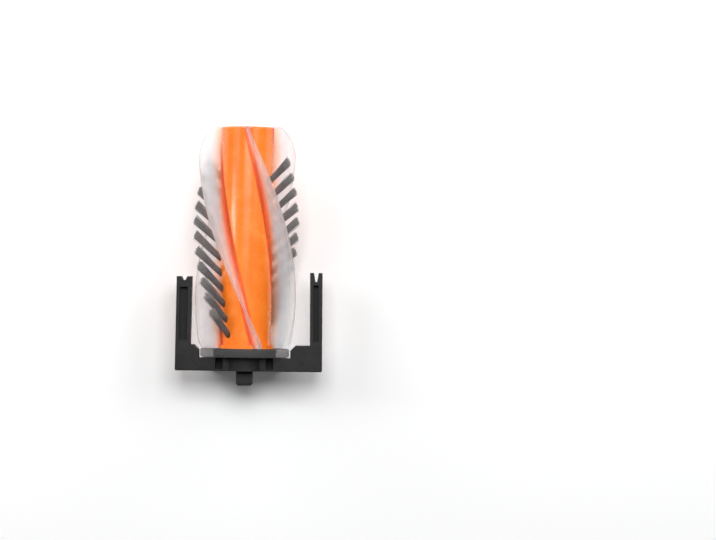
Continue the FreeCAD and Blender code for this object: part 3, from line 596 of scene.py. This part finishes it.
# Half the width at each step: the flare at the root, the thinning wall, and the closed lip and ends.
below = calc(blade_tree, "MAXIMUM", calc(blade_tree, "SUBTRACT", wall_start, radius), 0.0)
flare = quarter_round(blade_tree, calc(blade_tree, "SUBTRACT", root_rounding, below), root_rounding)
thinning = calc(blade_tree, "DIVIDE", calc(blade_tree, "SUBTRACT", radius, wall_start), thinning_height)
thinner_by = calc(blade_tree, "SUBTRACT", lip, wall)
thickness = calc(blade_tree, "MULTIPLY_ADD", thinner_by, limited(blade_tree, thinning), wall)
half = calc(blade_tree, "MULTIPLY_ADD", thickness, 0.5, flare)
from_lip = calc(blade_tree, "SUBTRACT", outer, radius)
half = calc(blade_tree, "MULTIPLY", calc(blade_tree, "SUBTRACT", half, neck_half), ledge_share)
half = calc(blade_tree, "MULTIPLY_ADD", foot_half, sole_share, half)
waist = calc(blade_tree, "SUBTRACT", neck_half, foot_half)
half = calc(blade_tree, "MULTIPLY_ADD", waist, instep_share, half)
for distance, rounding in ((from_lip, lip_rounding), (from_tip, end_rounding), (from_base, end_rounding)):
    closing = calc(blade_tree, "DIVIDE", quarter_round(blade_tree, distance, rounding), rounding)
    half = calc(blade_tree, "MULTIPLY", half, calc(blade_tree, "SUBTRACT", 1.0, closing))
offset = calc(blade_tree, "MULTIPLY", half, calc(blade_tree, "SIGN", side))

# The section stands out from the axis and turns along the helix.
angle = calc(blade_tree, "MULTIPLY_ADD", twist, ease, phase)
sine = calc(blade_tree, "SINE", angle)
cosine = calc(blade_tree, "COSINE", angle)
bent_x = calc(blade_tree, "MULTIPLY_ADD", offset, cosine, calc(blade_tree, "MULTIPLY", radius, sine))
bent_y = calc(blade_tree, "SUBTRACT", tip_y, from_tip)
sunk = calc(blade_tree, "MULTIPLY", offset, sine)
bent_z = calc(blade_tree, "SUBTRACT", calc(blade_tree, "MULTIPLY", radius, cosine), sunk)
edge_distance = calc(blade_tree, "MINIMUM", from_lip, calc(blade_tree, "MINIMUM", from_tip, from_base))
marked = blade_tree.nodes.new("GeometryNodeStoreNamedAttribute")
marked.data_type = "FLOAT"
marked.domain = "POINT"
marked.inputs["Name"].default_value = "edge_distance"
blade_tree.links.new(grid.outputs["Mesh"], marked.inputs["Geometry"])
blade_tree.links.new(edge_distance, marked.inputs["Value"])
shaped = blade_tree.nodes.new("GeometryNodeSetPosition")
blade_tree.links.new(marked.outputs["Geometry"], shaped.inputs["Geometry"])
blade_tree.links.new(combined(blade_tree, bent_x, bent_y, bent_z), shaped.inputs["Position"])
closed = blade_tree.nodes.new("GeometryNodeMergeByDistance")
closed.inputs["Distance"].default_value = MERGE_DISTANCE
blade_tree.links.new(shaped.outputs["Geometry"], closed.inputs["Geometry"])
smooth = blade_tree.nodes.new("GeometryNodeSetShadeSmooth")
blade_tree.links.new(closed.outputs["Geometry"], smooth.inputs["Geometry"])
real = blade_tree.nodes.new("GeometryNodeRealizeInstances")
blade_tree.links.new(smooth.outputs["Geometry"], real.inputs["Geometry"])
dressed = blade_tree.nodes.new("GeometryNodeSetMaterial")
blade_tree.links.new(real.outputs["Geometry"], dressed.inputs["Geometry"])
blade_tree.links.new(finish, dressed.inputs["Material"])
leave = blade_tree.nodes.new("NodeGroupOutput")
blade_tree.links.new(dressed.outputs["Geometry"], leave.inputs["Blade"])


def grown(name, tree, values):
    """Runs a geometry tree with the named values and returns its result as a plain mesh piece."""
    piece = bpy.data.objects.new(name, bpy.data.meshes.new(name))
    scene.collection.objects.link(piece)
    modifier = piece.modifiers.new("shape", "NODES")
    modifier.node_group = tree
    for item in tree.interface.items_tree:
        if item.in_out == "INPUT" and item.name in values:
            modifier[item.identifier] = values[item.name]
    bpy.context.view_layer.update()
    mesh = bpy.data.meshes.new_from_object(piece.evaluated_get(bpy.context.evaluated_depsgraph_get()))
    piece.modifiers.remove(modifier)
    piece.data = mesh
    mesh.name = name
    shape = bmesh.new()
    shape.from_mesh(mesh)
    bmesh.ops.dissolve_degenerate(shape, edges=shape.edges[:], dist=SLIVER_LENGTH)
    bmesh.ops.recalc_face_normals(shape, faces=shape.faces[:])
    shape.to_mesh(mesh)
    shape.free()
    return piece


# The blades' band colours and rim line are painted glow and painted shade on clear rubber.
blade_clear, shader = clear_elastomer("blade_clear", BLADE_BASE_RADIUS, BLADE_GLOW_AND_SHADE_BANDS, BLADE_RIM_PAINTED_SHADE)
shader.inputs["Transmission Weight"].default_value = BLADE_CLARITY
for number, blade_angle in enumerate(BLADE_ANGLES, start=1):
    blade = grown(f"clear_blade_{number}", blade_tree, {"Phase": blade_angle, "Finish": blade_clear})
    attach(blade, "roller")
    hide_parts(f"blade_{number}")

# Bristle tufts: two rows of eleven bundles of dark nylon filaments between the blades.
# Each bundle is folded over, punched into a blind hole in the core and leans towards the free end.
CORE_RADIUS = 0.0104
TUFT_ROWS = 2
TUFTS_IN_ROW = 11
FILAMENTS_IN_TUFT = 120
FILAMENT_SHORTEST = 0.955
FILAMENT_LONGEST = 0.995
FILAMENT_TAPER = 0.25
FILAMENT_BOW = 0.00022
INDEX_NUDGE = 0.01
GOLDEN_TURN = math.pi * (3.0 - math.sqrt(5.0))
TUFT_GREY = (0.28, 0.262, 0.26, 1.0)
TUFT_DARK = (0.15, 0.14, 0.139, 1.0)

tuft_nylon, tree, shader, place = new_material("tuft_nylon")
strands = noise(tree, place, 1500.0, 3.0)
strand_share = remap(tree, strands, 0.3, 0.7, 0.0, 1.0)
tree.links.new(colour_mix(tree, strand_share, TUFT_DARK, TUFT_GREY), shader.inputs["Base Color"])
tree.links.new(remap(tree, strands, 0.3, 0.7, 0.36, 0.55), shader.inputs["Roughness"])

tuft_tree = bpy.data.node_groups.new("bristle_tufts", "GeometryNodeTree")
tuft_tree.interface.new_socket("Tufts", in_out="OUTPUT", socket_type="NodeSocketGeometry")
entry = tuft_tree.nodes.new("NodeGroupInput")
row_count = tree_input(tuft_tree, entry, "Rows", "NodeSocketInt", TUFT_ROWS)
tuft_count = tree_input(tuft_tree, entry, "Tufts in Row", "NodeSocketInt", TUFTS_IN_ROW)
filament_count = tree_input(tuft_tree, entry, "Filaments in Tuft", "NodeSocketInt", FILAMENTS_IN_TUFT)
row_angle = tree_input(tuft_tree, entry, "Row Angle", "NodeSocketFloat", math.radians(29))
row_twist = tree_input(tuft_tree, entry, "Twist per Metre", "NodeSocketFloat", TWIST / CORE_LENGTH)
core_end = tree_input(tuft_tree, entry, "Core End", "NodeSocketFloat", CORE_END)
first_root = tree_input(tuft_tree, entry, "First Root", "NodeSocketFloat", 0.0146)
pitch = tree_input(tuft_tree, entry, "Pitch", "NodeSocketFloat", 0.0061)
lean = tree_input(tuft_tree, entry, "Lean", "NodeSocketFloat", math.radians(42))
core_radius = tree_input(tuft_tree, entry, "Core Radius", "NodeSocketFloat", CORE_RADIUS)
bundle = tree_input(tuft_tree, entry, "Bundle Radius", "NodeSocketFloat", 0.00098)
full_radius = tree_input(tuft_tree, entry, "Full Radius", "NodeSocketFloat", 0.0209)
end_radius = tree_input(tuft_tree, entry, "End Radius", "NodeSocketFloat", 0.0191)
taper_length = tree_input(tuft_tree, entry, "Taper Length", "NodeSocketFloat", 0.038)
rooted = tree_input(tuft_tree, entry, "Rooted Depth", "NodeSocketFloat", 0.002)
splay = tree_input(tuft_tree, entry, "Splay", "NodeSocketFloat", 0.035)
stray = tree_input(tuft_tree, entry, "Stray", "NodeSocketFloat", 0.03)
trim_share = tree_input(tuft_tree, entry, "Trim Share", "NodeSocketFloat", 0.8)
thin = tree_input(tuft_tree, entry, "Filament Radius", "NodeSocketFloat", 0.000075)
seed = tree_input(tuft_tree, entry, "Seed", "NodeSocketInt", 11)
finish = tree_input(tuft_tree, entry, "Finish", "NodeSocketMaterial")


def chance(tree, low, high, seed_value, number):
    """A seeded random number for each point."""
    node = tree.nodes.new("FunctionNodeRandomValue")
    node.data_type = "FLOAT"
    node.inputs[2].default_value = low
    node.inputs[3].default_value = high
    tree.links.new(calc(tree, "ADD", seed_value, number), node.inputs["Seed"])
    return node.outputs[1]


def groups_before(tree, number, group_size):
    """How many whole groups come before an index; a nudge keeps it clear of rounding."""
    nudged = calc(tree, "ADD", number, INDEX_NUDGE)
    return calc(tree, "FLOOR", calc(tree, "DIVIDE", nudged, group_size))


def vector_sum(tree, vectors):
    """The sum of (vector, factor) pairs."""
    total = None
    for vector, factor in vectors:
        node = tree.nodes.new("ShaderNodeVectorMath")
        node.operation = "SCALE"
        tree.links.new(vector, node.inputs[0])
        feed(tree, node.inputs["Scale"], factor)
        if total is None:
            total = node.outputs[0]
            continue
        adding = tree.nodes.new("ShaderNodeVectorMath")
        adding.operation = "ADD"
        tree.links.new(total, adding.inputs[0])
        tree.links.new(node.outputs[0], adding.inputs[1])
        total = adding.outputs[0]
    return total


# Each point is one filament, counted through its tuft, its row and both rows.
index = tuft_tree.nodes.new("GeometryNodeInputIndex").outputs[0]
in_tuft = calc(tuft_tree, "MODULO", index, filament_count)
tuft = groups_before(tuft_tree, index, filament_count)
row = groups_before(tuft_tree, tuft, tuft_count)
in_row = calc(tuft_tree, "SUBTRACT", tuft, calc(tuft_tree, "MULTIPLY", row, tuft_count))

# The tufts follow the blades' helix, and each has its own outward, sideways and leaning directions.
root_y = calc(tuft_tree, "MULTIPLY_ADD", in_row, pitch, first_root)
to_end = calc(tuft_tree, "SUBTRACT", core_end, root_y)
end_angle = calc(tuft_tree, "MULTIPLY_ADD", row, math.pi, row_angle)
tuft_angle = calc(tuft_tree, "MULTIPLY_ADD", to_end, row_twist, end_angle)
sine = calc(tuft_tree, "SINE", tuft_angle)
cosine = calc(tuft_tree, "COSINE", tuft_angle)
outward = combined(tuft_tree, sine, 0.0, cosine)
sideways = combined(tuft_tree, cosine, 0.0, calc(tuft_tree, "MULTIPLY", sine, -1.0))
axial = combined(tuft_tree, 0.0, 1.0, 0.0)
lean_sine = calc(tuft_tree, "SINE", lean)
lean_cosine = calc(tuft_tree, "COSINE", lean)
along_tuft = vector_sum(tuft_tree, ((outward, lean_cosine), (axial, lean_sine)))
inward_share = calc(tuft_tree, "MULTIPLY", lean_sine, -1.0)
across_tuft = vector_sum(tuft_tree, ((outward, inward_share), (axial, lean_cosine)))

# The filaments fill the bundle evenly, spread a little towards their tips, and stray a little.
share = calc(tuft_tree, "DIVIDE", calc(tuft_tree, "ADD", in_tuft, 0.5), filament_count)
spread = calc(tuft_tree, "SQRT", share)
turn = calc(tuft_tree, "MULTIPLY", in_tuft, GOLDEN_TURN)
first_share = calc(tuft_tree, "MULTIPLY", spread, calc(tuft_tree, "COSINE", turn))
second_share = calc(tuft_tree, "MULTIPLY", spread, calc(tuft_tree, "SINE", turn))
root = vector_sum(
    tuft_tree,
    (
        (outward, core_radius),
        (axial, root_y),
        (across_tuft, calc(tuft_tree, "MULTIPLY", first_share, bundle)),
        (sideways, calc(tuft_tree, "MULTIPLY", second_share, bundle)),
        (along_tuft, calc(tuft_tree, "MULTIPLY", rooted, -1.0)),
    ),
)
first_bend = calc(tuft_tree, "MULTIPLY", chance(tuft_tree, -1.0, 1.0, seed, 1), stray)
first_bend = calc(tuft_tree, "MULTIPLY_ADD", first_share, splay, first_bend)
second_bend = calc(tuft_tree, "MULTIPLY", chance(tuft_tree, -1.0, 1.0, seed, 2), stray)
second_bend = calc(tuft_tree, "MULTIPLY_ADD", second_share, splay, second_bend)
heading = vector_sum(tuft_tree, ((along_tuft, 1.0), (across_tuft, first_bend), (sideways, second_bend)))

# They are trimmed to the brush's outline, which narrows towards the free end.
slope = calc(tuft_tree, "DIVIDE", calc(tuft_tree, "SUBTRACT", full_radius, end_radius), taper_length)
full_reach = calc(tuft_tree, "DIVIDE", calc(tuft_tree, "SUBTRACT", full_radius, core_radius), lean_cosine)
end_rise = calc(tuft_tree, "SUBTRACT", end_radius, core_radius)
taper_rise = calc(tuft_tree, "MULTIPLY_ADD", slope, to_end, end_rise)
taper_share = calc(tuft_tree, "MULTIPLY_ADD", slope, lean_sine, lean_cosine)
taper_reach = calc(tuft_tree, "DIVIDE", taper_rise, taper_share)
reach = calc(tuft_tree, "ADD", calc(tuft_tree, "MINIMUM", full_reach, taper_reach), rooted)
slant = calc(tuft_tree, "MULTIPLY", bundle, calc(tuft_tree, "TANGENT", lean))
trim = calc(tuft_tree, "MULTIPLY", first_share, slant)
reach = calc(tuft_tree, "MULTIPLY_ADD", trim, trim_share, reach)
length_share = chance(tuft_tree, FILAMENT_SHORTEST, FILAMENT_LONGEST, seed, 3)
reach = calc(tuft_tree, "MULTIPLY", reach, length_share)

# One filament: a thin four-sided rod that narrows and bows a little towards its tip.
filament = tuft_tree.nodes.new("GeometryNodeMeshCylinder")
filament.inputs["Vertices"].default_value = 4
filament.inputs["Side Segments"].default_value = 3
filament.inputs["Depth"].default_value = 1.0
tuft_tree.links.new(thin, filament.inputs["Radius"])
spot = tuft_tree.nodes.new("ShaderNodeSeparateXYZ")
tuft_tree.links.new(tuft_tree.nodes.new("GeometryNodeInputPosition").outputs[0], spot.inputs[0])
height = calc(tuft_tree, "ADD", spot.outputs["Z"], 0.5)
narrowing = calc(tuft_tree, "MULTIPLY_ADD", height, -FILAMENT_TAPER, 1.0)
bow = calc(tuft_tree, "MULTIPLY", calc(tuft_tree, "MULTIPLY", height, height), FILAMENT_BOW)
bowed = combined(
    tuft_tree,
    calc(tuft_tree, "MULTIPLY_ADD", spot.outputs["X"], narrowing, bow),
    calc(tuft_tree, "MULTIPLY", spot.outputs["Y"], narrowing),
    height,
)
filament_shape = tuft_tree.nodes.new("GeometryNodeSetPosition")
tuft_tree.links.new(filament.outputs["Mesh"], filament_shape.inputs["Geometry"])
tuft_tree.links.new(bowed, filament_shape.inputs["Position"])
filament_smooth = tuft_tree.nodes.new("GeometryNodeSetShadeSmooth")
tuft_tree.links.new(filament_shape.outputs["Geometry"], filament_smooth.inputs["Geometry"])

# A filament stands at every point, aimed along its heading and turned at random about its own axis.
points = tuft_tree.nodes.new("GeometryNodePoints")
total = calc(tuft_tree, "MULTIPLY", calc(tuft_tree, "MULTIPLY", row_count, tuft_count), filament_count)
tuft_tree.links.new(total, points.inputs["Count"])
tuft_tree.links.new(root, points.inputs["Position"])
aimed = tuft_tree.nodes.new("FunctionNodeAlignRotationToVector")
aimed.axis = "Z"
tuft_tree.links.new(heading, aimed.inputs["Vector"])
spun = tuft_tree.nodes.new("FunctionNodeAxisAngleToRotation")
spun.inputs["Axis"].default_value = (0.0, 0.0, 1.0)
tuft_tree.links.new(chance(tuft_tree, 0.0, 2.0 * math.pi, seed, 4), spun.inputs["Angle"])
rolled = tuft_tree.nodes.new("FunctionNodeRotateRotation")
rolled.rotation_space = "LOCAL"
tuft_tree.links.new(aimed.outputs[0], rolled.inputs[0])
tuft_tree.links.new(spun.outputs[0], rolled.inputs[1])
planted = tuft_tree.nodes.new("GeometryNodeInstanceOnPoints")
tuft_tree.links.new(points.outputs[0], planted.inputs["Points"])
tuft_tree.links.new(filament_smooth.outputs["Geometry"], planted.inputs["Instance"])
tuft_tree.links.new(rolled.outputs[0], planted.inputs["Rotation"])
tuft_tree.links.new(combined(tuft_tree, 1.0, 1.0, reach), planted.inputs["Scale"])
real = tuft_tree.nodes.new("GeometryNodeRealizeInstances")
tuft_tree.links.new(planted.outputs["Instances"], real.inputs["Geometry"])
dressed = tuft_tree.nodes.new("GeometryNodeSetMaterial")
tuft_tree.links.new(real.outputs["Geometry"], dressed.inputs["Geometry"])
tuft_tree.links.new(finish, dressed.inputs["Material"])
leave = tuft_tree.nodes.new("NodeGroupOutput")
tuft_tree.links.new(dressed.outputs["Geometry"], leave.inputs["Tufts"])

bristles = grown("bristle_tufts", tuft_tree, {"Finish": tuft_nylon})
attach(bristles, "roller")
for row_letter in "ab":
    for number in range(1, TUFTS_IN_ROW + 1):
        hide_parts(f"tuft_{row_letter}_{number:02d}")

# Floor: a plain white sheet under the bracket's foot, wide enough to fill the picture.
# Soft boxes light it from the free end and from both sides, and a narrow strip gives the core its gleam.
FLOOR_WHITE = (0.961, 0.965, 0.965, 1.0)
FLOOR_GLOW = 0.04
FLOOR_HALF = 3.0
STUDIO_FILL = 0.12

floor_mesh = bpy.data.meshes.new("floor")
corner_signs = ((-1, -1), (1, -1), (1, 1), (-1, 1))
corners = [(x * FLOOR_HALF, y * FLOOR_HALF, cad_low.z) for x, y in corner_signs]
floor_mesh.from_pydata(corners, [], [(0, 1, 2, 3)])
floor = bpy.data.objects.new("floor", floor_mesh)
scene.collection.objects.link(floor)
floor_white, tree, shader, _ = new_material("floor_white")
shader.inputs["Base Color"].default_value = FLOOR_WHITE
shader.inputs["Roughness"].default_value = 0.9
shader.inputs["Specular IOR Level"].default_value = 0.0
seen = tree.nodes.new("ShaderNodeLightPath")
seen_share = calc(tree, "MAXIMUM", seen.outputs["Is Camera Ray"], seen.outputs["Is Transmission Ray"])
seen_share = calc(tree, "MAXIMUM", seen_share, seen.outputs["Is Glossy Ray"])
shader.inputs["Emission Color"].default_value = (1.0, 1.0, 1.0, 1.0)
tree.links.new(calc(tree, "MULTIPLY", seen_share, FLOOR_GLOW), shader.inputs["Emission Strength"])
floor_mesh.materials.append(floor_white)

world = bpy.data.worlds.new("studio")
world.use_nodes = True
background = world.node_tree.nodes["Background"]
background.inputs["Color"].default_value = (1.0, 1.0, 1.0, 1.0)
background.inputs["Strength"].default_value = STUDIO_FILL
scene.world = world

# Each soft box has a place, the direction of its length, its size and its power, and faces the middle.
MIDDLE = Vector((0.002, 0.045, 0.0))
SOFTBOXES = (
    ("far_softbox", Vector((0.045, 0.28, 0.8)), Vector((1.0, 0.0, 0.0)), (0.42, 0.3), 4.15),
    ("left_softbox", Vector((-0.52, 0.33, 0.58)), Vector((0.5, 0.85, 0.0)), (0.4, 0.4), 1.45),
    ("right_softbox", Vector((0.52, 0.33, 0.58)), Vector((0.5, -0.85, 0.0)), (0.4, 0.4), 1.8),
    ("left_wing", Vector((-0.47, 0.42, 0.2)), Vector((0.67, 0.74, 0.0)), (0.36, 0.2), 0.7),
    ("right_wing", Vector((0.47, 0.42, 0.2)), Vector((0.67, -0.74, 0.0)), (0.36, 0.2), 0.9),
    ("left_strip", Vector((-0.18, 0.0632, 0.129)), Vector((0.14, -0.015, 0.188)), (0.075, 0.008), 0.06),
)
for name, position, lengthwise, size, power in SOFTBOXES:
    lamp = bpy.data.lights.new(name, "AREA")
    lamp.shape = "RECTANGLE"
    lamp.size = size[0]
    lamp.size_y = size[1]
    lamp.energy = power
    backward = (position - MIDDLE).normalized()
    upward = backward.cross(lengthwise).normalized()
    across = upward.cross(backward)
    softbox = bpy.data.objects.new(name, lamp)
    softbox.location = position
    softbox.rotation_euler = Matrix((across, upward, backward)).transposed().to_euler()
    scene.collection.objects.link(softbox)

# Camera: straight above, with the part to the left of the picture's middle.
# A long lens from far off keeps the upright edges nearly parallel.
CAMERA_PLACE = (0.04487, 0.04103, 1.6)
CAMERA_TURN = math.radians(0.8)
CAMERA_SENSOR = 36.0
CAMERA_LENS = 201.0

camera_data = bpy.data.cameras.new("camera")
camera_data.sensor_width = CAMERA_SENSOR
camera_data.lens = CAMERA_LENS
camera = bpy.data.objects.new("camera", camera_data)
camera.location = CAMERA_PLACE
camera.rotation_euler = (0.0, 0.0, CAMERA_TURN)
scene.collection.objects.link(camera)
scene.camera = camera
scene.view_settings.view_transform = "Standard"
